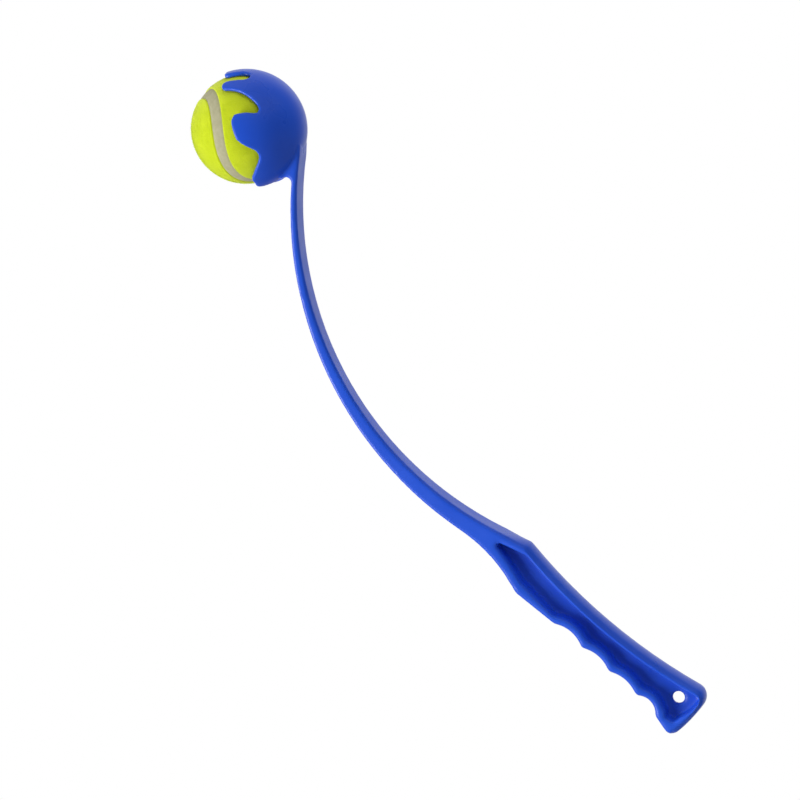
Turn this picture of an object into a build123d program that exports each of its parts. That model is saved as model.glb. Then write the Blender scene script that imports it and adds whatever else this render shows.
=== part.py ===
# Ball launcher: a wand in one moulding, with a fingered cup at its end, and the felt ball in that cup.
# Origin at the centre of the hang hole. +Z runs to the ball's centre, +X to the inside of the arm's bow,
# and Y runs across the thickness, with the moulding's mid-plane at y = 0.
import math
import os

from build123d import *

# Ball
ball_diameter = 65.0
felt_thickness = 3.0
core_wall = 3.3
glue_line = 0.15
seam_width = 6.2
seam_recess = 0.5
seam_swing_share = 0.25
seam_points = 24
seam_step_share = 0.01
seam_side = (0.799, -0.274, -0.536)
seam_axis = (-0.452, 0.316, -0.835)

# Cup
reach = 423.5
cup_clearance = 0.3
cup_sag = 0.9
cup_wall = 2.6
mouth_rise = 19.8
mouth_lip = 0.2
finger_tip_radius = 2.6
middle_tip_drop = 2.0
middle_tip_azimuth = 88.0
middle_tip_half = 12.0
rim_outer_edge = 1.0
rim_inner_edge = 0.5
slot_azimuth = 24.0
slot_width = 9.0
slot_depth = 15.5
side_notch_azimuth = 59.8
side_notch_top = 10.8
side_notch_bottom = 9.2
side_notch_depth = 18.7
side_notch_corner = 3.0
side_notch_floor_share = 0.5
side_notch_bend_shares = (0.37, 0.69)
low_notch_azimuth = 118.8
low_notch_upper = 16.8
low_notch_lower = 14.1
low_notch_depth = 12.2
low_notch_corner = 6.6
foot_notch_half = 14.8
foot_notch_depth = 17.0
foot_notch_corner = 8.0

# Arm
arm_join_angle = 41.5
arm_fade_radius = 20.0
arm_fade_angle = 36.0
arm_tip_depth = 2.7
arm_middle_depth = 6.0
arm_root_depth = 10.3
arm_root_rise = 35.2
arm_tip_width = 20.6
arm_waist_width = 16.4
arm_waist_height = 245.0
arm_inner_edge = 1.5
arm_belly_edge = 0.6
gusset_radius = 3.6

# Handle
handle_width = 20.0
handle_edge = 2.2
shoulder_height = 125.5
shoulder_reach = 15.1
top_sag = 7.1
end_top_reach = 17.6
end_top_drop = 9.2
end_top_radius = 7.5
end_sag = 1.8
heel_reach = 17.4
heel_drop = 15.6
heel_radius = 5.0
heel_top_reach = 16.4
grip_reach = 14.9
grip_lean = 11.9
finger_spans = (16.5, 21.5, 21.2, 21.5)
finger_depths = (4.0, 2.9, 2.9, 3.1)
knuckle_radius = 2.4
guard_reach = 38.9
guard_drop = 18.0
guard_radius = 4.0

# Pocket and hang hole
web = 3.0
rim_top = 4.5
rim_grip = 6.2
rim_end = 5.2
pocket_heel_reach = 9.8
pocket_guard_reach = 31.5
pocket_guard_rise = 2.0
pocket_tip_rise = 17.0
pocket_tip_reach = 30.9
pocket_front_drop = 4.5
pocket_draft = 4.0
pocket_corner = 2.6
pocket_tip_radius = 1.8
pocket_floor_radius = 1.0
pocket_lip = 0.7
pocket_lip_slope = 45.0
hang_hole_diameter = 7.5

cut_overrun = 5.0
joint_margin = 0.1
edge_probe_share = 0.37

ball_radius = ball_diameter / 2
core_radius = ball_radius - felt_thickness - glue_line
cup_inner = ball_radius + cup_sag + cup_clearance
cup_outer = cup_inner + cup_wall
ball_centre = Vector(0, 0, reach)
handle_half = handle_width / 2
guard_height = shoulder_height - guard_drop
pocket_tip_height = shoulder_height + pocket_tip_rise


def polar(centre, radius, angle):
    turn = math.radians(angle)
    return Vector(centre.X + radius * math.cos(turn), centre.Y + radius * math.sin(turn))


def bowed(start, end, depth):
    # middle of an arc that lies to the right of the way from start to end
    way = (end - start).normalized()
    return (start + end) / 2 + Vector(way.Y, -way.X) * depth


def circle_centre(start, middle, end):
    a, b = middle - start, end - start
    area = 2 * (a.X * b.Y - a.Y * b.X)
    aa, bb = a.dot(a), b.dot(b)
    return start + Vector((b.Y * aa - a.Y * bb) / area, (a.X * bb - b.X * aa) / area)


def circles_meet(centre_a, radius_a, centre_b, radius_b):
    # crossing point to the left of the way from centre a to centre b
    link = centre_b - centre_a
    along = (radius_a**2 - radius_b**2 + link.length**2) / (2 * link.length)
    across = math.sqrt(radius_a**2 - along**2)
    unit = link.normalized()
    return centre_a + unit * along + Vector(-unit.Y, unit.X) * across


# The mouth faces away from the arm's bow and a little upwards; the ball lies against the upper fingers
mouth_tilt = math.radians(mouth_rise)
mouth_way = Vector(-math.cos(mouth_tilt), 0, math.sin(mouth_tilt))
cup_top = Vector(math.sin(mouth_tilt), 0, math.cos(mouth_tilt))
cup_centre = ball_centre - cup_top * cup_sag
cup_plane = Plane(origin=cup_centre, x_dir=cup_top, z_dir=mouth_way)

# Arm outline points in the mid-plane, as (x, z): the bow runs from the shoulder to a tangent on the cup
cup_middle = Vector(cup_centre.X, cup_centre.Z)
shoulder = Vector(-shoulder_reach, shoulder_height)
arm_join = polar(cup_middle, cup_outer, arm_join_angle - 90)
join_way = (arm_join - cup_middle).normalized()
join_link = arm_join - shoulder
arm_bow_radius = -join_link.dot(join_link) / (2 * join_link.dot(join_way))
bow_centre = arm_join + join_way * arm_bow_radius
join_angle = 90 + arm_join_angle
root_lift = bow_centre.Y - shoulder_height - arm_root_rise
root_angle = 180 + math.degrees(math.asin(root_lift / arm_bow_radius))
bow_middle = polar(bow_centre, arm_bow_radius, (join_angle + root_angle) / 2)
belly_tip = polar(bow_centre, arm_bow_radius + arm_tip_depth, join_angle)
belly_middle = polar(bow_centre, arm_bow_radius + arm_middle_depth, (join_angle + root_angle) / 2)
belly_root = polar(bow_centre, arm_bow_radius + arm_root_depth, root_angle)
belly_centre = circle_centre(belly_tip, belly_middle, belly_root)
belly_radius = (belly_tip - belly_centre).length
gusset_centre = circles_meet(
    belly_centre, belly_radius + gusset_radius, cup_middle, cup_outer + gusset_radius
)
gusset_low = belly_centre + (gusset_centre - belly_centre).normalized() * belly_radius
gusset_way = (gusset_centre - cup_middle).normalized()
gusset_high = cup_middle + gusset_way * cup_outer
gusset_end = cup_middle + gusset_way * (cup_inner - cut_overrun)
gusset_turn = ((gusset_low + gusset_high) / 2 - gusset_centre).normalized()
gusset_middle = gusset_centre + gusset_turn * gusset_radius
fade_centre = polar(arm_join, arm_fade_radius, join_angle)
fade_middle = polar(fade_centre, arm_fade_radius, join_angle + 180 + arm_fade_angle / 2)
fade_end = polar(fade_centre, arm_fade_radius, join_angle + 180 + arm_fade_angle)
fade_inner = cup_middle + (fade_end - cup_middle).normalized() * (cup_inner - cut_overrun)

# Handle outline points
guard = Vector(-guard_reach, guard_height)
end_top = Vector(end_top_reach, -end_top_drop)
heel = Vector(-heel_reach, -heel_drop)
heel_top = Vector(-heel_top_reach, 0)
grip_way = polar(Vector(0, 0), 1, 90 + grip_lean)
knuckles = [heel_top]
for count in range(len(finger_spans)):
    knuckles.append(Vector(-grip_reach, 0) + grip_way * sum(finger_spans[: count + 1]))
top_middle = bowed(shoulder, end_top, top_sag)
top_centre = circle_centre(shoulder, top_middle, end_top)
top_radius = (shoulder - top_centre).length

# Pocket outline points: the pocket runs parallel to the top, the end and the finger scallops
end_centre = circle_centre(heel, bowed(heel, end_top, end_sag), end_top)
end_radius = (heel - end_centre).length - rim_end
pocket_radius = top_radius + rim_top
scallops = [circle_centre(a, bowed(a, b, d), b) for a, b, d in zip(knuckles, knuckles[1:], finger_depths)]
scallop_radii = [(a - c).length + rim_grip for a, c in zip(knuckles, scallops)]


def pocket_at(height):
    return Vector(top_centre.X - math.sqrt(pocket_radius**2 - (top_centre.Y - height) ** 2), height)


pocket_tip = Vector(-pocket_tip_reach, pocket_tip_height)
pocket_front = pocket_at(shoulder_height - pocket_front_drop)
pocket_top = pocket_at(shoulder_height / 2)
pocket_end = circles_meet(top_centre, pocket_radius, end_centre, end_radius)
pocket_heel_drop = math.sqrt(end_radius**2 - (end_centre.X + pocket_heel_reach) ** 2) - end_centre.Y
pocket_heel = Vector(-pocket_heel_reach, -pocket_heel_drop)
pocket_guard = Vector(-pocket_guard_reach, guard_height + pocket_guard_rise)
grip_points = [scallops[0] + (heel_top - scallops[0]).normalized() * scallop_radii[0]]
for count in range(1, len(scallops)):
    grip_points.append(
        circles_meet(scallops[count], scallop_radii[count], scallops[count - 1], scallop_radii[count - 1])
    )
grip_points.append(scallops[-1] + (knuckles[-1] - scallops[-1]).normalized() * scallop_radii[-1])

# Handle and arm outline in the mid-plane, at the width of the side view
with BuildPart() as blank:
    with BuildSketch(Plane.XZ) as outline:
        with BuildLine():
            ThreePointArc(shoulder, bow_middle, arm_join)
            ThreePointArc(arm_join, fade_middle, fade_end)
            Polyline(fade_end, fade_inner, gusset_end, gusset_high)
            ThreePointArc(gusset_high, gusset_middle, gusset_low)
            belly = ThreePointArc(gusset_low, belly_middle, belly_root)
            TangentArc(belly_root, guard, tangent=belly % 1)
            Line(guard, knuckles[-1])
            for start, end, depth in zip(knuckles, knuckles[1:], finger_depths):
                ThreePointArc(start, bowed(start, end, depth), end)
            Line(heel_top, heel)
            ThreePointArc(heel, bowed(heel, end_top, end_sag), end_top)
            ThreePointArc(end_top, top_middle, shoulder)
        make_face()
        for corner, radius in ((end_top, end_top_radius), (heel, heel_radius), (guard, guard_radius)):
            fillet(vertices().sort_by_distance((corner.X, corner.Y))[0], radius)
        for corner in knuckles:
            fillet(vertices().sort_by_distance((corner.X, corner.Y))[0], knuckle_radius)
    extrude(amount=handle_width, both=True)
    with BuildSketch(Plane.YZ) as widths:
        with BuildLine():
            Polyline(
                (handle_half, pocket_tip_height),
                (handle_half, -handle_width),
                (0, -handle_width),
                (0, reach),
                (arm_tip_width / 2, reach),
                (arm_tip_width / 2, arm_join.Y),
            )
            ThreePointArc(
                (arm_tip_width / 2, arm_join.Y),
                (arm_waist_width / 2, arm_waist_height),
                (handle_half, pocket_tip_height),
            )
        make_face()
        mirror(about=Plane.YZ)
    extrude(amount=reach, both=True, mode=Mode.INTERSECT)

# The handle ends at its two corners, above the guard's rounding and at the shoulder
joint_low = guard + Vector(0, guard_radius)
joint_way = (shoulder - joint_low).normalized()
joint_plane = Plane(
    origin=(shoulder.X, 0, shoulder.Y), x_dir=(0, 1, 0), z_dir=(-joint_way.Y, 0, joint_way.X)
)
with BuildPart() as handle:
    add(blank.part)
    split(bisect_by=joint_plane, keep=Keep.BOTTOM)
    for side in (0, -1):
        flank = faces().group_by(Axis.Y)[side].edges()
        outer = flank.filter_by(lambda e: joint_plane.to_local_coords(e.center()).Z < -joint_margin)
        fillet(outer, handle_edge)


def off_circle(edge, centre, radius):
    point = edge @ edge_probe_share
    return abs(math.hypot(point.X - centre.X, point.Z - centre.Y) - radius)


with BuildPart() as arm:
    add(blank.part)
    split(bisect_by=joint_plane, keep=Keep.TOP)
    flanks = edges().filter_by(lambda e: abs(e.center().Y) > web)
    inner_edges = flanks.filter_by(lambda e: off_circle(e, bow_centre, arm_bow_radius) < joint_margin)
    fillet(inner_edges, arm_inner_edge)
    flanks = edges().filter_by(lambda e: abs(e.center().Y) > web)
    belly_edges = flanks.filter_by(lambda e: off_circle(e, belly_centre, belly_radius) < joint_margin)
    fillet(belly_edges, arm_belly_edge)

# The cup in its own frame: its mouth faces +Z, and azimuths turn from its top, +X, towards +Y
def notch_plane(azimuth):
    turn = math.radians(azimuth)
    outward = Vector(math.cos(turn), math.sin(turn), 0)
    return Plane(origin=(0, 0, 0), x_dir=Vector(0, 0, 1).cross(outward), z_dir=outward)


notch_mouth = mouth_lip + cut_overrun
cut_reach = cup_outer + cut_overrun
with BuildPart() as cup:
    Sphere(radius=cup_outer)
    Sphere(radius=cup_inner, mode=Mode.SUBTRACT)
    split(bisect_by=Plane.XY.offset(mouth_lip), keep=Keep.BOTTOM)
    for side in (1, -1):
        with BuildSketch(notch_plane(side * slot_azimuth)):
            with BuildLine():
                slot_half = slot_width / 2
                slot_turn = slot_half - slot_depth
                Line((-slot_half, slot_turn), (-slot_half, notch_mouth))
                Line((-slot_half, notch_mouth), (slot_half, notch_mouth))
                Line((slot_half, notch_mouth), (slot_half, slot_turn))
                ThreePointArc((slot_half, slot_turn), (0, -slot_depth), (-slot_half, slot_turn))
            make_face()
        extrude(amount=cut_reach, mode=Mode.SUBTRACT)
        with BuildSketch(notch_plane(side * side_notch_azimuth)):
            with BuildLine():
                bend_across, bend_down = side_notch_bend_shares
                bite_start = (-side * side_notch_top, mouth_lip)
                bite_bend = (-side * side_notch_top * bend_across, -side_notch_depth * bend_down)
                bite_end = (side * side_notch_bottom * side_notch_floor_share, -side_notch_depth)
                ThreePointArc(bite_start, bite_bend, bite_end)
                Polyline(
                    bite_end,
                    (side * side_notch_bottom, -side_notch_depth),
                    (side * side_notch_bottom, notch_mouth),
                    (-side * side_notch_top, notch_mouth),
                    bite_start,
                )
            make_face()
            corner = (side * side_notch_bottom, -side_notch_depth)
            fillet(vertices().sort_by_distance(corner)[0], side_notch_corner)
        extrude(amount=cut_reach, mode=Mode.SUBTRACT)
        with BuildSketch(notch_plane(side * low_notch_azimuth)):
            with BuildLine():
                Polyline(
                    (-side * low_notch_upper, mouth_lip),
                    (0, -low_notch_depth),
                    (side * low_notch_lower, mouth_lip),
                    (side * low_notch_lower, notch_mouth),
                    (-side * low_notch_upper, notch_mouth),
                    close=True,
                )
            make_face()
            fillet(vertices().sort_by_distance((0, -low_notch_depth))[0], low_notch_corner)
        extrude(amount=cut_reach, mode=Mode.SUBTRACT)
        with BuildSketch(notch_plane(side * middle_tip_azimuth)):
            with Locations((0, mouth_lip - middle_tip_drop)):
                Rectangle(2 * middle_tip_half, notch_mouth, align=(Align.CENTER, Align.MIN))
        extrude(amount=cut_reach, mode=Mode.SUBTRACT)
    with BuildSketch(notch_plane(180)):
        with BuildLine():
            Polyline(
                (-foot_notch_half, mouth_lip),
                (0, -foot_notch_depth),
                (foot_notch_half, mouth_lip),
                (foot_notch_half, notch_mouth),
                (-foot_notch_half, notch_mouth),
                close=True,
            )
        make_face()
        fillet(vertices().sort_by_distance((0, -foot_notch_depth))[0], foot_notch_corner)
    extrude(amount=cut_reach, mode=Mode.SUBTRACT)
    tips = edges().filter_by(GeomType.LINE).filter_by(
        lambda e: e.center().Z > mouth_lip - middle_tip_drop - joint_margin
    )
    fillet(tips, finger_tip_radius)
    for shell, radius in ((cup_outer, rim_outer_edge), (cup_inner, rim_inner_edge)):
        rim = edges().filter_by(lambda e: abs((e @ edge_probe_share).length - shell) < joint_margin)
        fillet(rim, radius)

with BuildPart() as pocket:
    with BuildSketch(Plane.XZ.offset(-handle_half)) as pocket_outline:
        with BuildLine():
            ThreePointArc(pocket_front, pocket_top, pocket_end)
            Polyline(pocket_end, pocket_heel, grip_points[0])
            for start, end, centre, radius in zip(grip_points, grip_points[1:], scallops, scallop_radii):
                bulge = centre + ((start + end) / 2 - centre).normalized() * radius
                ThreePointArc(start, bulge, end)
            Polyline(grip_points[-1], pocket_guard, pocket_tip, pocket_front)
        make_face()
        for corner in (pocket_front, pocket_end, pocket_heel, pocket_guard):
            fillet(vertices().sort_by_distance((corner.X, corner.Y))[0], pocket_corner)
        for corner in (pocket_tip, *grip_points[1:-1]):
            fillet(vertices().sort_by_distance((corner.X, corner.Y))[0], pocket_tip_radius)
    extrude(amount=handle_half - web / 2, taper=pocket_draft)
    fillet(faces().sort_by(Axis.Y)[0].edges(), pocket_floor_radius)
    with BuildSketch(Plane.XZ.offset(pocket_lip - handle_half)):
        add(pocket_outline.sketch)
    extrude(amount=-pocket_lip, taper=-pocket_lip_slope)
    mirror(about=Plane.XZ)

with BuildPart() as wand:
    add(handle.part)
    add(arm.part)
    with Locations(cup_plane):
        add(cup.part)
        Sphere(radius=cup_inner, mode=Mode.SUBTRACT)
    add(pocket.part, mode=Mode.SUBTRACT)
    with Locations(Rotation(X=90)):
        Cylinder(hang_hole_diameter / 2, handle_width, mode=Mode.SUBTRACT)

# The ball's own turn: seam_axis runs through the middles of its two felt panels
ball_plane = Plane(origin=ball_centre, x_dir=seam_side, z_dir=seam_axis)


def seam_way(turn):
    # unit direction of the seam's middle line, from the ball's centre
    main = 1 - seam_swing_share
    lift = 2 * math.sqrt(seam_swing_share * main)
    return Vector(
        main * math.cos(turn) + seam_swing_share * math.cos(3 * turn),
        main * math.sin(turn) - seam_swing_share * math.sin(3 * turn),
        lift * math.sin(2 * turn),
    )


def seam_edge(side, radius):
    points = []
    lean = side * seam_width / 2 / ball_radius
    step = math.pi / seam_points
    for count in range(seam_points):
        turn = 2 * step * count
        way = seam_way(turn)
        along = seam_way(turn + step * seam_step_share) - seam_way(turn - step * seam_step_share)
        aside = way.cross(along).normalized()
        edge_way = way * math.cos(lean) + aside * math.sin(lean)
        points.append(edge_way * radius)
    return Edge.make_spline(points, periodic=True)


with BuildPart() as cover:
    Sphere(radius=ball_radius)
    Sphere(radius=ball_radius - felt_thickness, mode=Mode.SUBTRACT)
    for side in (-1, 1):
        wall = Face.make_surface_from_curves(
            seam_edge(side, core_radius - cut_overrun), seam_edge(side, ball_radius + cut_overrun)
        )
        split(bisect_by=wall, keep=Keep.ALL)
cover_pieces = cover.solids().sort_by(Axis.Z)

with BuildPart() as felt_panel_upper:
    with Locations(ball_plane):
        add(cover_pieces[0])

with BuildPart() as ball_seam:
    with Locations(ball_plane):
        add(cover_pieces[1])
        Sphere(radius=ball_radius - seam_recess, mode=Mode.INTERSECT)

with BuildPart() as felt_panel_lower:
    with Locations(ball_plane):
        add(cover_pieces[2])

mouth_plane = Plane(origin=ball_centre, x_dir=cup_top, z_dir=mouth_way)
with BuildPart() as core_half_front:
    with Locations(mouth_plane):
        Sphere(radius=core_radius)
        Sphere(radius=core_radius - core_wall, mode=Mode.SUBTRACT)
    split(bisect_by=mouth_plane, keep=Keep.TOP)

with BuildPart() as core_half_back:
    with Locations(mouth_plane):
        Sphere(radius=core_radius)
        Sphere(radius=core_radius - core_wall, mode=Mode.SUBTRACT)
    split(bisect_by=mouth_plane, keep=Keep.BOTTOM)

os.makedirs("parts", exist_ok=True)
wand.part.label = "wand"
export_step(wand.part, "parts/wand.step")
core_half_front.part.label = "core_half_front"
export_step(core_half_front.part, "parts/core_half_front.step")
core_half_back.part.label = "core_half_back"
export_step(core_half_back.part, "parts/core_half_back.step")
felt_panel_upper.part.label = "felt_panel_upper"
export_step(felt_panel_upper.part, "parts/felt_panel_upper.step")
felt_panel_lower.part.label = "felt_panel_lower"
export_step(felt_panel_lower.part, "parts/felt_panel_lower.step")
ball_seam.part.label = "ball_seam"
export_step(ball_seam.part, "parts/ball_seam.step")
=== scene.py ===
import math

import bmesh
import bpy
import numpy
from mathutils import Matrix, Vector, noise
from mathutils.kdtree import KDTree


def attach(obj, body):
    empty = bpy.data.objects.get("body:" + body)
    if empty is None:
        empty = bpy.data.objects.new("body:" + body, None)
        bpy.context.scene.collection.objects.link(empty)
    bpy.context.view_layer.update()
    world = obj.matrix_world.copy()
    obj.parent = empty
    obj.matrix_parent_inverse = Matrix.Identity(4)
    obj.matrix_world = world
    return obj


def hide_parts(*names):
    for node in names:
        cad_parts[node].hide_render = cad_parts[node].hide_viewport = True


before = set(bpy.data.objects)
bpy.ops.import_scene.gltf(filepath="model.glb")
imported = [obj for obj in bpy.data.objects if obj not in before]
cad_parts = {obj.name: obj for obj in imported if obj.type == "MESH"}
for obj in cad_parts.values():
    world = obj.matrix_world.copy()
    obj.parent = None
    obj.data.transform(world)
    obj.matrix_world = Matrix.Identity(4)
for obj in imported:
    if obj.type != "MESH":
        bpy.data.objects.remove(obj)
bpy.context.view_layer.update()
scene = bpy.context.scene
scene.view_settings.view_transform = "Standard"
print("frame loaded:", sorted(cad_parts))


# small helpers for node trees

def newMaterial(name):
    mat = bpy.data.materials.new(name)
    mat.use_nodes = True
    tree = mat.node_tree
    tree.nodes.clear()
    out = tree.nodes.new("ShaderNodeOutputMaterial")
    shader = tree.nodes.new("ShaderNodeBsdfPrincipled")
    tree.links.new(shader.outputs["BSDF"], out.inputs["Surface"])
    return mat, tree, shader


# another node's output is linked, a plain value is set
def feed(tree, socket, value):
    if isinstance(value, bpy.types.NodeSocket):
        tree.links.new(value, socket)
    else:
        socket.default_value = value


def feedAll(tree, node, inputs):
    for key, value in inputs.items():
        feed(tree, node.inputs[key], value)


def addNode(tree, kind, inputs=None, **settings):
    node = tree.nodes.new(kind)
    for key, value in settings.items():
        setattr(node, key, value)
    feedAll(tree, node, inputs or {})
    return node


def addMath(tree, operation, first, second=0.5):
    return addNode(tree, "ShaderNodeMath", {0: first, 1: second}, operation=operation).outputs[0]


def addRamp(tree, value, low, high, lowOut=0.0, highOut=1.0):
    inputs = {"Value": value, "From Min": low, "From Max": high, "To Min": lowOut, "To Max": highOut}
    return addNode(tree, "ShaderNodeMapRange", inputs, interpolation_type="SMOOTHSTEP").outputs["Result"]


def addTint(tree, factor, first, second):
    node = addNode(tree, "ShaderNodeMix", data_type="RGBA")
    sockets = [s for s in node.inputs if s.enabled]
    for socket, value in zip(sockets, (factor, first, second)):
        feed(tree, socket, value)
    return [s for s in node.outputs if s.enabled][0]


def addNoise(tree, coords, scale, detail=2.0, rough=0.5):
    inputs = {"Vector": coords, "Scale": scale, "Detail": detail, "Roughness": rough}
    return addNode(tree, "ShaderNodeTexNoise", inputs).outputs["Fac"]


def addBump(tree, height, depth, strength, under=None):
    inputs = {"Height": height, "Distance": depth, "Strength": strength}
    if under is not None:
        inputs["Normal"] = under
    return addNode(tree, "ShaderNodeBump", inputs).outputs["Normal"]


# small helpers for meshes

def plainCopy(name, mesh):
    piece = bpy.data.objects.new(name, mesh)
    scene.collection.objects.link(piece)
    return piece


def bakeModifiers(piece, name):
    depsgraph = bpy.context.evaluated_depsgraph_get()
    mesh = bpy.data.meshes.new_from_object(piece.evaluated_get(depsgraph))
    mesh.name = name
    piece.modifiers.clear()
    piece.data = mesh


def shadeSmooth(mesh):
    mesh.polygons.foreach_set("use_smooth", [True] * len(mesh.polygons))


def mergedCopy(node, name, gap=0.000004):
    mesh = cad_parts[node].data.copy()
    mesh.name = name
    work = bmesh.new()
    work.from_mesh(mesh)
    bmesh.ops.remove_doubles(work, verts=work.verts, dist=gap)
    work.to_mesh(mesh)
    work.free()
    mesh.materials.clear()
    return plainCopy(name, mesh)


# finds the nearest of some numbered points
def makeFinder(points):
    finder = KDTree(len(points))
    for index, point in points:
        finder.insert(point, index)
    finder.balance()
    return finder


def readVectors(mesh, name):
    values = numpy.empty(len(mesh.vertices) * 3, dtype=numpy.float32)
    mesh.vertices.foreach_get(name, values)
    return values.reshape(-1, 3).astype(numpy.float64)


def writeSpots(mesh, spots):
    mesh.vertices.foreach_set("co", spots.astype(numpy.float32).ravel())
    mesh.update()


def easeBetween(values, low, high):
    share = numpy.clip((values - low) / (high - low), 0.0, 1.0)
    return share * share * (3.0 - 2.0 * share)


# each vertex goes halfway to the mean of its neighbours, a few times over
def evenOut(mesh, values, passes):
    ends = numpy.empty(len(mesh.edges) * 2, dtype=numpy.int32)
    mesh.edges.foreach_get("vertices", ends)
    first, second = ends.reshape(-1, 2).T
    size = len(values)
    count = numpy.bincount(ends, minlength=size)[:, None]
    for step in range(passes):
        total = numpy.stack([
            numpy.bincount(first, column[second], size) + numpy.bincount(second, column[first], size)
            for column in values.T
        ], axis=1)
        values = 0.5 * values + 0.5 * total / count
    return values


# half of the moulding's width at each height, from its widest vertices
def halfWidths(spots, step=0.002):
    row = numpy.floor(spots[:, 2] / step).astype(int)
    row -= row.min()
    widest = numpy.zeros(row.max() + 1)
    numpy.maximum.at(widest, row, numpy.abs(spots[:, 1]))
    lowest = numpy.floor(spots[:, 2].min() / step) * step
    middles = (numpy.arange(len(widest)) + 0.5) * step + lowest
    return numpy.interp(spots[:, 2], middles, widest)


# wand: one blue moulding, in metres and degrees, with heights from the hang hole
wandLook = {
    "blue": (0.018, 0.086, 0.61, 1.0),
    "deepBlue": (0.014, 0.076, 0.57, 1.0),
    "cloudScale": 22.0,            # faint clouds of the two blues
    "cloudSpan": (0.35, 0.68),
    "flowScale": 60.0,             # patches with a little more or less gloss
    "flowSpan": (0.3, 0.7),
    "roughness": (0.27, 0.35),
    "specular": 0.25,
    "stippleScale": 1400.0,        # fine mould texture
    "stippleDepth": 0.00003,
    "stippleStrength": 0.35,
    "partingHalf": 0.00018,        # half width of the mould's parting line
    "partingDepth": 0.00006,
    "partingStrength": 0.6,

    "voxel": 0.00078,              # grid of the rounded skin
    "softenFactor": 0.5,
    "softening": 6,                # smoothing passes over the whole moulding
    "gripSoftening": 8,            # more passes on the handle, whose edges are rounder
    "gripTop": 0.165,              # height where those passes end
    "gripFade": 0.03,              # and the height over which they fade in below it
    "swell": 0.00016,              # makes up for the skin that smoothing takes off

    "midBand": 0.0011,             # how near the mid-plane the side outline is read
    "midFacing": 0.35,             # and how far its skin may face aside
    "holeClear": 0.006,            # the hang hole's edge isn't part of that outline
    "outlineTop": 0.392,
    "shapedTop": 0.388,            # nothing is reshaped above this height, apart from the cup
    "topRound": 0.0024,            # rounding between the handle's top and its flanks
    "topFacing": (0.0, 0.6),
    "topCrown": 0.0019,            # how far the handle's top falls from its middle to its edges
    "crownSpan": 0.0050,           # depth over which that fall fades out
    "roundSpan": (0.124, 0.142),   # heights where round and crown fade out towards the arm
    "endRound": 0.0042,            # rounding at the handle's end
    "endFacing": (0.3, 0.9),
    "endTop": 0.02,

    "handleTop": 0.13,             # the pocket's wall moves only below this height
    "holeFade": (0.0045, 0.0075),  # and clear of the hang hole
    "gripStretch": 0.0018,         # how much nearer it comes to the finger grips
    "gripFacing": (0.1, 0.5),
    "gripBottom": (-0.006, 0.004),
    "gripUpper": (0.100, 0.125),
    "gripDepths": (0.0018, 0.0050, 0.0065, 0.0095),
    "endStretch": (0.0019, -0.0025),  # and to the handle's end, along X and Z
    "endWay": (0.19, -0.98),       # the way towards that end
    "endSpan": (0.0042, 0.0072),
    "endFade": (-0.008, 0.002),
    "endDepth": 0.0015,
    "endDeepen": 0.0045,
    "evenPasses": 14,
    "holeRadius": 0.00365,
    "holeGap": 0.0006,             # skin this near to the hole is drawn onto it

    "mouthWay": Vector((-0.940881, 0.0, 0.338738)),
    "cupCentre": Vector((-0.000305, 0.0, 0.422653)),
    "cupRadii": (0.0363, 0.0337),
    "cupFade": (0.004, 0.014),     # past the outer radius, where the fingers' changes fade out
    "armFade": (0.3890, 0.3975),   # heights where the arm runs out into the cup
    "skinReach": 0.0004,           # skin this near to a cup radius is drawn onto it
    "skinFade": 0.00015,
    "skinFacing": 0.96,            # if it faces along that radius, given as a cosine
    "skinGap": 0.0003,             # margin at each radius between inner and outer skin
    "fingerSpread": (2.6, 1.6),    # how far the middle fingers widen at the tip, above and below
    "fingerTurns": (62.0, 76.0, 88.0, 100.0, 112.0),
    "fingerTilts": (-34.0, -16.0),
    "cornerDrop": 3.2,             # rounds the middle finger's upper corner
    "cornerTurn": 75.0,
    "cornerSpan": 4.6,
    "cornerTilts": (-18.0, -5.0),
    "heelSwell": 0.0022,           # the bottom finger's outer skin is a little thicker
    "heelWay": (-0.45, 0.36, -0.818),
    "heelSpan": 18.0,
}


def makeWandPlastic(look):
    mat, tree, shader = newMaterial("wandPlastic")
    coords = addNode(tree, "ShaderNodeTexCoord").outputs["Object"]
    cloud = addNoise(tree, coords, look["cloudScale"], detail=3.0)
    flow = addNoise(tree, coords, look["flowScale"])
    stipple = addNoise(tree, coords, look["stippleScale"])
    across = addNode(tree, "ShaderNodeSeparateXYZ", {0: coords}).outputs["Y"]
    parting = addRamp(tree, addMath(tree, "ABSOLUTE", across), 0.0, look["partingHalf"], 1.0, 0.0)
    line = addBump(tree, parting, look["partingDepth"], look["partingStrength"])
    feedAll(tree, shader, {
        "Base Color": addTint(tree, addRamp(tree, cloud, *look["cloudSpan"]), look["deepBlue"], look["blue"]),
        "Roughness": addRamp(tree, flow, *look["flowSpan"], *look["roughness"]),
        "Normal": addBump(tree, stipple, look["stippleDepth"], look["stippleStrength"], line),
        "Specular IOR Level": look["specular"],
    })
    return mat


def softenEdges(piece, look):
    grip = piece.vertex_groups.new(name="grip")
    for vert in piece.data.vertices:
        weight = max(0.0, min(1.0, (look["gripTop"] - vert.co.z) / look["gripFade"]))
        if weight > 0.0:
            grip.add([vert.index], weight, "REPLACE")
    rounds = (("relax", look["softening"], ""), ("relaxGrip", look["gripSoftening"], "grip"))
    for name, passes, group in rounds:
        relax = piece.modifiers.new(name, "SMOOTH")
        relax.factor = look["softenFactor"]
        relax.iterations = passes
        relax.vertex_group = group
    bakeModifiers(piece, piece.name)
    piece.vertex_groups.clear()


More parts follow.
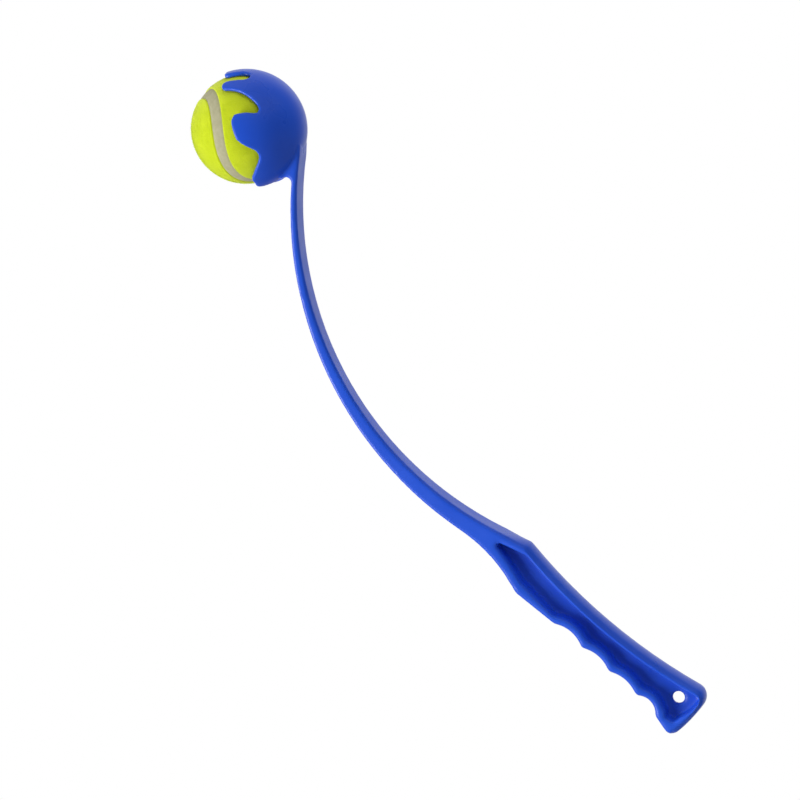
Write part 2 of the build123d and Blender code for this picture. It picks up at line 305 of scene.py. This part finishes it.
# vertices below the cup, the way out to the side outline near each one, and how deep it lies under that
def underOutline(spots, normals, look):
    onOutline = (numpy.abs(spots[:, 1]) < look["midBand"]) & (numpy.abs(normals[:, 1]) < look["midFacing"])
    onOutline &= numpy.hypot(spots[:, 0], spots[:, 2]) > look["holeClear"]
    onOutline &= spots[:, 2] < look["outlineTop"]
    flat = spots * (1.0, 0.0, 1.0)
    finder = makeFinder([(index, flat[index]) for index in numpy.flatnonzero(onOutline)])
    chosen = numpy.flatnonzero(spots[:, 2] < look["shapedTop"])
    nearest = numpy.array([finder.find(flat[index])[1] for index in chosen])
    outward = normals[nearest][:, [0, 2]]
    outward /= numpy.linalg.norm(outward, axis=1)[:, None]
    depth = ((spots[nearest] - spots[chosen])[:, [0, 2]] * outward).sum(axis=1)
    return chosen, outward, depth


# rounds the edges of the handle's top and end, and lets the top fall to its edges
def edgeMoves(here, half, outward, depth, look):
    onTop = easeBetween(outward[:, 0], *look["topFacing"])
    onTop *= 1.0 - easeBetween(here[:, 2], *look["roundSpan"])
    atEnd = easeBetween(-outward[:, 1], *look["endFacing"]) * (here[:, 2] < look["endTop"])
    bend = numpy.maximum(onTop * look["topRound"], atEnd * look["endRound"])
    margin = half - numpy.abs(here[:, 1])
    inTop = bend - depth
    inSide = bend - margin
    past = numpy.hypot(inTop, inSide)
    rounded = (inTop > 0) & (inSide > 0) & (past > bend)
    cut = 1.0 - numpy.where(rounded, bend / numpy.maximum(past, 1e-9), 1.0)
    fall = onTop * look["topCrown"] * (here[:, 1] / half) ** 2
    fall *= 1.0 - easeBetween(depth, 0.0, look["crownSpan"])
    inward = inTop * cut + fall
    aside = numpy.sign(here[:, 1]) * inSide * cut
    return -numpy.stack([outward[:, 0] * inward, aside, outward[:, 1] * inward], axis=1)


# brings the pocket's wall nearer to the finger grips and to the handle's end
def pocketMoves(here, outward, depth, look):
    near = easeBetween(numpy.hypot(here[:, 0], here[:, 2]), *look["holeFade"])
    near *= here[:, 2] < look["handleTop"]
    onGrip = easeBetween(-outward[:, 0], *look["gripFacing"]) * easeBetween(here[:, 2], *look["gripBottom"])
    onGrip *= (1.0 - easeBetween(here[:, 2], *look["gripUpper"])) * look["gripStretch"]
    onGrip *= numpy.interp(depth, look["gripDepths"], (0.0, 1.0, 1.0, 0.0))
    onEnd = easeBetween(here[:, [0, 2]] @ look["endWay"], *look["endSpan"])
    onEnd *= easeBetween(here[:, 0], *look["endFade"])
    onEnd *= numpy.clip((depth - look["endDepth"]) / look["endDeepen"], 0.0, 1.0)
    moves = numpy.zeros_like(here)
    moves[:, [0, 2]] = outward * (onGrip * near)[:, None] + numpy.outer(onEnd * near, look["endStretch"])
    return moves


# the smoothed skin is swelled back, then the handle gets its crown and rounds, its pocket wall and its hole
def shapeHandle(piece, look):
    mesh = piece.data
    normals = readVectors(mesh, "normal")
    spots = readVectors(mesh, "co") + normals * look["swell"]
    chosen, outward, depth = underOutline(spots, normals, look)
    here = spots[chosen]
    shift = numpy.zeros_like(spots)
    shift[chosen] = pocketMoves(here, outward, depth, look)
    spots[chosen] += edgeMoves(here, halfWidths(spots)[chosen], outward, depth, look)
    spots += evenOut(mesh, shift, look["evenPasses"])
    hole = numpy.hypot(spots[:, 0], spots[:, 2])
    wall = (hole < look["holeRadius"] + look["holeGap"]) & (numpy.abs(spots[:, 1]) < look["midBand"])
    drawn = look["holeRadius"] / hole[wall]
    spots[wall] *= numpy.stack([drawn, numpy.ones(wall.sum()), drawn], axis=1)
    writeSpots(mesh, spots)


# middle fingers wider at the tip, bottom finger a little thicker, both sides alike
def tuneFingers(way, look):
    outerRadius, innerRadius = look["cupRadii"]
    mouth = numpy.array(look["mouthWay"])
    top = numpy.array((mouth[2], 0.0, -mouth[0]))
    reach = numpy.linalg.norm(way, axis=1)
    onCup = 1.0 - easeBetween(reach, *(outerRadius + gap for gap in look["cupFade"]))
    ahead, upward, aside = way @ mouth, way @ top, numpy.abs(way[:, 1])
    tilt = numpy.degrees(numpy.arcsin(ahead / reach))
    turn = numpy.degrees(numpy.arctan2(aside, upward))
    above, below = look["fingerSpread"]
    spread = numpy.interp(turn, look["fingerTurns"], (0.0, -above, 0.0, below, 0.0))
    turned = numpy.radians(turn + spread * easeBetween(tilt, *look["fingerTilts"]) * onCup)
    corner = look["cornerDrop"] * numpy.exp(-((turn - look["cornerTurn"]) / look["cornerSpan"]) ** 2)
    tilted = numpy.radians(tilt - corner * easeBetween(tilt, *look["cornerTilts"]) * onCup)
    ahead, ring = reach * numpy.sin(tilted), reach * numpy.cos(tilted)
    tuned = ahead[:, None] * mouth + (ring * numpy.cos(turned))[:, None] * top
    tuned[:, 1] += numpy.sign(way[:, 1]) * ring * numpy.sin(turned)
    outer = easeBetween(reach, innerRadius + look["skinGap"], outerRadius - look["skinGap"])
    for side in (-1.0, 1.0):
        heel = numpy.array(look["heelWay"]) * (1.0, side, 1.0)
        apart = numpy.degrees(numpy.arccos(numpy.clip(tuned @ heel / reach, -1.0, 1.0)))
        proud = look["heelSwell"] * numpy.exp(-(apart / look["heelSpan"]) ** 2) * onCup * outer
        tuned *= (1.0 + proud / reach)[:, None]
    return tuned


# the arm runs out into the cup, and the cup's two skins are true spheres again after the smoothing
def trueCup(piece, look):
    mesh = piece.data
    centre = numpy.array(look["cupCentre"])
    way = readVectors(mesh, "co") - centre
    reach = numpy.linalg.norm(way, axis=1)
    over = numpy.maximum(reach - look["cupRadii"][0], 0.0) * (way[:, 0] > 0.0)
    over *= easeBetween(way[:, 2] + centre[2], *look["armFade"])
    way *= (1.0 - over / reach)[:, None]
    reach -= over
    facing = numpy.abs((way * readVectors(mesh, "normal")).sum(axis=1)) > look["skinFacing"] * reach
    for radius in look["cupRadii"]:
        share = (look["skinReach"] - numpy.abs(reach - radius)) / look["skinFade"]
        share = numpy.clip(share, 0.0, 1.0) * facing
        way *= (1.0 + (radius - reach) * share / reach)[:, None]
    writeSpots(mesh, tuneFingers(way, look) + centre)


def makeWand(look):
    wand = mergedCopy("wand", "wandMoulding")
    grid = wand.modifiers.new("grid", "REMESH")
    grid.mode = "VOXEL"
    grid.voxel_size = look["voxel"]
    bakeModifiers(wand, "wandMoulding")
    softenEdges(wand, look)
    shapeHandle(wand, look)
    trueCup(wand, look)
    shadeSmooth(wand.data)
    wand.data.materials.append(makeWandPlastic(look))
    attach(wand, "wand")
    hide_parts("wand")
    return wand


wand = makeWand(wandLook)
print("wand moulding:", len(wand.data.polygons), "faces")


# ball: two felt panels and the seam between them
ballForm = {
    "centre": Vector((0.0, 0.0, 0.4235)),
    "radius": 0.0325,
    "side": Vector((0.799, -0.274, -0.536)),   # the ball's own turn in the cup
    "axis": Vector((-0.452, 0.316, -0.835)),
    "swing": 0.25,            # how far the seam swings out of a plain circle
    "seamWidth": 0.0068,
    "seamSway": 0.0007,       # the seam is a little wider on one side of the ball
    "seamWide": 2.75,         # where it is widest, along its own turn
    "seamRecess": 0.0005,
}


def ballTurn(form):
    up = form["axis"].normalized()
    side = (form["side"] - up * form["side"].dot(up)).normalized()
    return Matrix((side, up.cross(side), up)).transposed()


def seamWay(turn, form):
    swing = form["swing"]
    main = 1.0 - swing
    return Vector((
        main * math.cos(turn) + swing * math.cos(3 * turn),
        main * math.sin(turn) - swing * math.sin(3 * turn),
        2 * math.sqrt(main * swing) * math.sin(2 * turn),
    ))


def seamHalf(turn, form):
    return form["seamWidth"] / 2 + form["seamSway"] * math.cos(turn - form["seamWide"])


feltLook = {
    "felt": (0.60, 0.70, 0.016, 1.0),
    "feltDeep": (0.54, 0.645, 0.011, 1.0),
    "fibre": (0.64, 0.735, 0.030, 1.0),
    "patchScale": 120.0,     # lighter and deeper patches
    "patchSpan": (0.32, 0.66),
    "napScale": 1500.0,
    "napDepth": 0.0002,
    "napStrength": 0.5,
    "roughness": 0.95,
    "specular": 0.12,
    "sheen": 0.3,
    "sheenRoughness": 0.5,
    "sheenTint": (1.0, 1.0, 0.7, 1.0),
    "levels": 7,             # icosphere levels of the felt's skin
    "trackSteps": 720,       # points along the seam that the felt's edge is measured from
    "edgeRound": 0.0011,
    "edgeLap": 0.0004,       # where that round starts, over the seam's edge
    "edgeUnder": 0.0012,     # how far the felt runs on under the seam's edge
    "tuck": 0.0015,          # how far the felt's edge dips beside the seam
    "lumps": 0.00012,
    "lumpScale": 26.0,
    "lumpOctaves": 3,
    "thickness": 0.0014,
    "fibresPerArea": 6.6e6,  # to the square metre
    "fibreLength": 0.0008,
    "fibreShort": 0.45,      # the shortest ones, as a share of that length
    "fibreCramped": 0.1,     # and those with no room under the cup
    "fibreWidth": 0.00005,
    "fibreLean": 1.0,
    "cupGap": 0.0001,        # what the fibres leave free inside the cup
    "seed": 7,
}


def makeFelt(name, deep, bright, look):
    mat, tree, shader = newMaterial(name)
    coords = addNode(tree, "ShaderNodeTexCoord").outputs["Object"]
    patch = addNoise(tree, coords, look["patchScale"], detail=4.0, rough=0.6)
    nap = addNoise(tree, coords, look["napScale"], detail=3.0, rough=0.6)
    feedAll(tree, shader, {
        "Base Color": addTint(tree, addRamp(tree, patch, *look["patchSpan"]), deep, bright),
        "Normal": addBump(tree, nap, look["napDepth"], look["napStrength"]),
        "Roughness": look["roughness"],
        "Specular IOR Level": look["specular"],
        "Sheen Weight": look["sheen"],
        "Sheen Roughness": look["sheenRoughness"],
        "Sheen Tint": look["sheenTint"],
    })
    return mat


# loose fibres of the felt, thin three-sided spikes that lean at random and stay inside the cup's room
def fuzzTree(look):
    tree = bpy.data.node_groups.new("feltFuzz", "GeometryNodeTree")
    sockets = {}
    for name, kind in (
        ("Felt", "Geometry"), ("Fibres Per Area", "Float"), ("Length", "Float"), ("Width", "Float"),
        ("Lean", "Float"), ("Cup Centre", "Vector"), ("Cup Room", "Float"), ("Seed", "Int"),
        ("Finish", "Material"),
    ):
        socket = tree.interface.new_socket(name, in_out="INPUT", socket_type="NodeSocket" + kind)
        sockets[name] = socket.identifier
    tree.interface.new_socket("Fibres", in_out="OUTPUT", socket_type="NodeSocketGeometry")
    given = tree.nodes.new("NodeGroupInput").outputs
    points = addNode(
        tree, "GeometryNodeDistributePointsOnFaces",
        {"Mesh": given["Felt"], "Density": given["Fibres Per Area"], "Seed": given["Seed"]},
    )
    spike = addNode(
        tree, "GeometryNodeMeshCone",
        {"Vertices": 3, "Side Segments": 1, "Fill Segments": 1, "Radius Top": 0.0,
         "Radius Bottom": given["Width"], "Depth": given["Length"]},
    )
    most = addNode(tree, "ShaderNodeCombineXYZ", {"X": given["Lean"], "Y": given["Lean"], "Z": math.pi})
    least = addNode(
        tree, "ShaderNodeVectorMath",
        {0: most.outputs[0], 1: (-1.0, -1.0, -1.0)}, operation="MULTIPLY",
    )
    lean = addNode(
        tree, "FunctionNodeRandomValue",
        {0: least.outputs[0], 1: most.outputs[0], "Seed": given["Seed"]}, data_type="FLOAT_VECTOR",
    )
    turn = addNode(tree, "FunctionNodeEulerToRotation", {"Euler": lean.outputs[0]})
    laid = addNode(
        tree, "FunctionNodeRotateRotation",
        {"Rotation": points.outputs["Rotation"], "Rotate By": turn.outputs[0]}, rotation_space="LOCAL",
    )
    spot = addNode(tree, "GeometryNodeInputPosition").outputs[0]
    away = addNode(tree, "ShaderNodeVectorMath", {0: spot, 1: given["Cup Centre"]}, operation="DISTANCE")
    room = addMath(tree, "SUBTRACT", given["Cup Room"], away.outputs["Value"])
    room = addMath(tree, "DIVIDE", room, given["Length"])
    room = addMath(tree, "MAXIMUM", addMath(tree, "MINIMUM", room, 1.0), look["fibreCramped"])
    vary = addNode(tree, "FunctionNodeRandomValue", {"Seed": given["Seed"]}, data_type="FLOAT")
    length = addRamp(tree, vary.outputs[1], 0.0, 1.0, look["fibreShort"], 1.0)
    stretch = addMath(tree, "MULTIPLY", room, length)
    size = addNode(tree, "ShaderNodeCombineXYZ", {"X": 1.0, "Y": 1.0, "Z": stretch})
    fibres = addNode(
        tree, "GeometryNodeInstanceOnPoints",
        {"Points": points.outputs["Points"], "Instance": spike.outputs["Mesh"],
         "Rotation": laid.outputs[0], "Scale": size.outputs[0]},
    )
    real = addNode(tree, "GeometryNodeRealizeInstances", {"Geometry": fibres.outputs[0]})
    done = addNode(
        tree, "GeometryNodeSetMaterial", {"Geometry": real.outputs[0], "Material": given["Finish"]},
    )
    addNode(tree, "NodeGroupOutput", {"Fibres": done.outputs[0]})
    return tree, sockets


# one panel's outer skin, cut off where it comes nearer to the seam's edge than the least distance
def feltShell(form, look, sign, least):
    steps = look["trackSteps"]
    track = [seamWay(2 * math.pi * step / steps, form).normalized() for step in range(steps)]
    finder = makeFinder(list(enumerate(track)))
    work = bmesh.new()
    bmesh.ops.create_icosphere(work, subdivisions=look["levels"], radius=1.0)
    gone = []
    for vert in work.verts:
        way = vert.co.normalized()
        near, index, chord = finder.find(way)
        ahead = track[(index + 1) % steps] - track[index - 1]
        side = near.cross(ahead).normalized().dot(way)
        away = math.copysign(2 * math.asin(min(1.0, chord / 2)), side) * form["radius"] * sign
        past = away - seamHalf(2 * math.pi * index / steps, form)
        if past < least:
            gone.append(vert)
            continue
        rise = max(0.0, min(1.0, (past + look["edgeLap"]) / look["edgeRound"]))
        dip = look["tuck"] * (1.0 - math.sqrt(1.0 - (1.0 - rise) ** 2))
        lump = noise.fractal(way * look["lumpScale"], 1.0, 2.0, look["lumpOctaves"]) * look["lumps"]
        vert.co = way * (form["radius"] - dip + min(0.0, lump))
    bmesh.ops.delete(work, geom=gone, context="VERTS")
    loose = [v for v in work.verts if not v.link_faces]
    bmesh.ops.delete(work, geom=loose, context="VERTS")
    place = Matrix.Translation(form["centre"]) @ ballTurn(form).to_4x4()
    bmesh.ops.transform(work, matrix=place, verts=work.verts)
    mesh = bpy.data.meshes.new("feltShell")
    work.to_mesh(mesh)
    work.free()
    shadeSmooth(mesh)
    return mesh


def makePanel(name, node, sign, form, look, body, tree, sockets, fibre):
    panel = plainCopy(name, feltShell(form, look, sign, -look["edgeUnder"]))
    wall = panel.modifiers.new("wall", "SOLIDIFY")
    wall.thickness = look["thickness"]
    wall.offset = -1.0
    bakeModifiers(panel, name)
    panel.data.materials.append(body)
    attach(panel, "ball")
    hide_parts(node)
    fuzz = plainCopy(name + "Fuzz", feltShell(form, look, sign, 0.0))
    grow = fuzz.modifiers.new("fuzz", "NODES")
    grow.node_group = tree
    for key, value in (
        ("Fibres Per Area", look["fibresPerArea"]), ("Length", look["fibreLength"]),
        ("Width", look["fibreWidth"]), ("Lean", look["fibreLean"]), ("Cup Centre", wandLook["cupCentre"]),
        ("Cup Room", wandLook["cupRadii"][1] - look["cupGap"]), ("Seed", look["seed"]), ("Finish", fibre),
    ):
        grow[sockets[key]] = value
    bakeModifiers(fuzz, fuzz.name)
    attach(fuzz, "ball")
    print(name, len(panel.data.polygons), "faces,", len(fuzz.data.polygons), "fibre faces")


feltTree, feltSockets = fuzzTree(feltLook)
feltBody = makeFelt("feltBody", feltLook["feltDeep"], feltLook["felt"], feltLook)
feltFibre = makeFelt("feltFibre", feltLook["felt"], feltLook["fibre"], feltLook)
feltPanels = (("feltUpper", "felt_panel_upper", -1.0), ("feltLower", "felt_panel_lower", 1.0))
for panelName, panelNode, panelSign in feltPanels:
    makePanel(panelName, panelNode, panelSign, ballForm, feltLook, feltBody, feltTree, feltSockets, feltFibre)


# dusty rubber of the seam and of the core
rubberLook = {
    "dustSpan": (0.3, 0.7),
    "dustDepth": 0.00012,
    "dustStrength": 0.4,
    "specular": 0.3,
}


def makeRubber(name, finish, look):
    mat, tree, shader = newMaterial(name)
    coords = addNode(tree, "ShaderNodeTexCoord").outputs["Object"]
    dust = addNoise(tree, coords, finish["grain"], detail=4.0, rough=0.6)
    feedAll(tree, shader, {
        "Base Color": addTint(tree, addRamp(tree, dust, *look["dustSpan"]), finish["deep"], finish["pale"]),
        "Normal": addBump(tree, dust, look["dustDepth"], look["dustStrength"]),
        "Roughness": finish["roughness"],
        "Specular IOR Level": look["specular"],
    })
    return mat


seamLook = {
    "deep": (0.35, 0.335, 0.205, 1.0),
    "pale": (0.41, 0.39, 0.25, 1.0),
    "grain": 420.0,
    "roughness": 0.75,
    "steps": 480,
    "lap": 0.0006,           # how far the band runs under the felt on each side
    "depth": 0.0022,
    "crown": (               # share of the half width, height over the band's top
        (-1.0, -0.0006), (-0.8, -0.0001), (-0.4, 0.0), (0.0, 0.00005),
        (0.4, 0.0), (0.8, -0.0001), (1.0, -0.0006),
    ),
    "tangent": 0.006,        # turn on each side over which the band's direction is read
}


def makeSeam(form, look):
    turn = ballTurn(form)
    count = look["steps"]
    profile = [(-1.0, -look["depth"]), *look["crown"], (1.0, -look["depth"])]
    top = form["radius"] - form["seamRecess"]
    verts, faces = [], []
    for step in range(count):
        along = 2 * math.pi * step / count
        half = seamHalf(along, form) + look["lap"]
        way = seamWay(along, form).normalized()
        ahead = seamWay(along + look["tangent"], form) - seamWay(along - look["tangent"], form)
        aside = way.cross(ahead).normalized()
        for share, lift in profile:
            lean = share * half / form["radius"]
            spot = (way * math.cos(lean) + aside * math.sin(lean)) * (top + lift)
            verts.append(form["centre"] + turn @ spot)
    size = len(profile)
    for step in range(count):
        here, there = step * size, ((step + 1) % count) * size
        for k in range(size):
            after = (k + 1) % size
            faces.append((here + k, here + after, there + after, there + k))
    mesh = bpy.data.meshes.new("ballSeam")
    mesh.from_pydata(verts, [], faces)
    work = bmesh.new()
    work.from_mesh(mesh)
    bmesh.ops.recalc_face_normals(work, faces=work.faces)
    work.to_mesh(mesh)
    work.free()
    shadeSmooth(mesh)
    mesh.materials.append(makeRubber("seamRubber", look, rubberLook))
    seam = plainCopy("ballSeam", mesh)
    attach(seam, "ball")
    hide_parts("ball_seam")
    print("seam:", len(mesh.polygons), "faces")


makeSeam(ballForm, seamLook)


coreLook = {
    "deep": (0.035, 0.036, 0.038, 1.0),
    "pale": (0.060, 0.060, 0.062, 1.0),
    "grain": 260.0,
    "roughness": 0.6,
}

coreRubber = makeRubber("coreRubber", coreLook, rubberLook)
for coreNode in ("core_half_front", "core_half_back"):
    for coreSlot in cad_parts[coreNode].material_slots:
        coreSlot.material = coreRubber
    print(coreNode, "in rubber:", len(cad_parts[coreNode].material_slots), "slot")


# camera at the photograph's angle
viewSetup = {
    "target": Vector((-0.02581, 0.0, 0.23990)),
    "right": Vector((0.7649, 0.2193, -0.6057)),
    "up": Vector((0.5904, 0.1375, 0.7953)),
    "back": Vector((0.2577, -0.9659, -0.0242)),
    "distance": 2.3788,
    "lens": 180.0,
    "sensor": 36.0,
}


def makeCamera(setup):
    camera = bpy.data.objects.new("viewCamera", bpy.data.cameras.new("viewCamera"))
    scene.collection.objects.link(camera)
    back = setup["back"].normalized()
    right = (setup["right"] - back * setup["right"].dot(back)).normalized()
    turn = Matrix((right, back.cross(right), back)).transposed().to_4x4()
    camera.matrix_world = Matrix.Translation(setup["target"] + back * setup["distance"]) @ turn
    camera.data.lens = setup["lens"]
    camera.data.sensor_width = setup["sensor"]
    scene.camera = camera


makeCamera(viewSetup)


# soft studio light: a key lamp on the left of the view, weaker ones overhead and behind, white all round
studio = {
    "white": (1.0, 1.0, 1.0, 1.0),
    "worldLight": 0.18,
    "roomSide": Vector((0.744, -0.473, -0.470)),  # unlit side of the studio, which gloss shows darker
    "roomGloss": 0.07,
    "farGloss": 0.78,
    "glossSpan": (-0.15, 0.35),                   # how far towards that side the gloss changes over
    "key": {"right": -1.45, "up": -0.60, "back": 0.68, "size": 0.9, "power": 35.0, "gloss": True},
    "top": {"right": 0.20, "up": 1.40, "back": 0.55, "size": 2.4, "power": 24.0, "gloss": False},
    "rear": {"right": 0.60, "up": 0.60, "back": -1.30, "size": 1.6, "power": 9.0, "gloss": False},
    "floorHeight": -0.35,
    "floorRadius": 0.85,
    "floorSides": 96,
    "floorGrey": (0.55, 0.55, 0.55, 1.0),
    "floorRoughness": 0.9,
    "floorGlow": 0.8,                             # share of plain white that the camera sees in it
}


def makeWorld(setup):
    world = bpy.data.worlds.new("studioWorld")
    scene.world = world
    world.use_nodes = True
    tree = world.node_tree
    tree.nodes.clear()
    out = tree.nodes.new("ShaderNodeOutputWorld")
    rays = tree.nodes.new("ShaderNodeLightPath").outputs
    way = addNode(tree, "ShaderNodeTexCoord").outputs["Generated"]
    room = setup["roomSide"].normalized()
    facing = addNode(tree, "ShaderNodeVectorMath", {0: way, 1: room}, operation="DOT_PRODUCT")
    gloss = addRamp(
        tree, facing.outputs["Value"], *setup["glossSpan"], setup["farGloss"], setup["roomGloss"],
    )
    level = addNode(tree, "ShaderNodeMix", {0: rays["Is Glossy Ray"], 2: setup["worldLight"], 3: gloss})
    seen = addMath(tree, "MAXIMUM", rays["Is Camera Ray"], rays["Is Transmission Ray"])
    level = addNode(tree, "ShaderNodeMix", {0: seen, 2: level.outputs[0], 3: 1.0})
    sky = addNode(tree, "ShaderNodeBackground", {"Color": setup["white"], "Strength": level.outputs[0]})
    tree.links.new(sky.outputs[0], out.inputs["Surface"])


def makeLamp(name, spot, setup):
    light = bpy.data.lights.new(name, "AREA")
    light.shape = "SQUARE"
    light.size = spot["size"]
    light.energy = spot["power"]
    lamp = bpy.data.objects.new(name, light)
    scene.collection.objects.link(lamp)
    place = setup["right"] * spot["right"] + setup["up"] * spot["up"] + setup["back"] * spot["back"]
    lamp.location = setup["target"] + place
    lamp.rotation_mode = "QUATERNION"
    lamp.rotation_quaternion = (-place).to_track_quat("-Z", "Y")
    lamp.visible_glossy = spot["gloss"]


def makeFloor(setup):
    work = bmesh.new()
    bmesh.ops.create_circle(work, cap_ends=True, segments=setup["floorSides"], radius=setup["floorRadius"])
    bmesh.ops.translate(work, verts=work.verts, vec=(0.0, 0.0, setup["floorHeight"]))
    mesh = bpy.data.meshes.new("floor")
    work.to_mesh(mesh)
    work.free()
    mat, tree, shader = newMaterial("floorPaint")
    out = shader.outputs["BSDF"].links[0].to_node
    feedAll(tree, shader, {"Base Color": setup["floorGrey"], "Roughness": setup["floorRoughness"]})
    glow = addNode(tree, "ShaderNodeEmission", {"Color": setup["white"], "Strength": 1.0})
    rays = tree.nodes.new("ShaderNodeLightPath").outputs
    share = addMath(tree, "MULTIPLY", rays["Is Camera Ray"], setup["floorGlow"])
    mix = addNode(tree, "ShaderNodeMixShader", {0: share, 1: shader.outputs["BSDF"], 2: glow.outputs[0]})
    tree.links.new(mix.outputs[0], out.inputs["Surface"])
    mesh.materials.append(mat)
    floor = plainCopy("floor", mesh)
    floor.visible_glossy = False  # the plastic mirrors the room, not the floor


makeWorld(studio)
for lampName in ("key", "top", "rear"):
    makeLamp(lampName + "Lamp", studio[lampName], viewSetup)
makeFloor(studio)
print("studio ready")
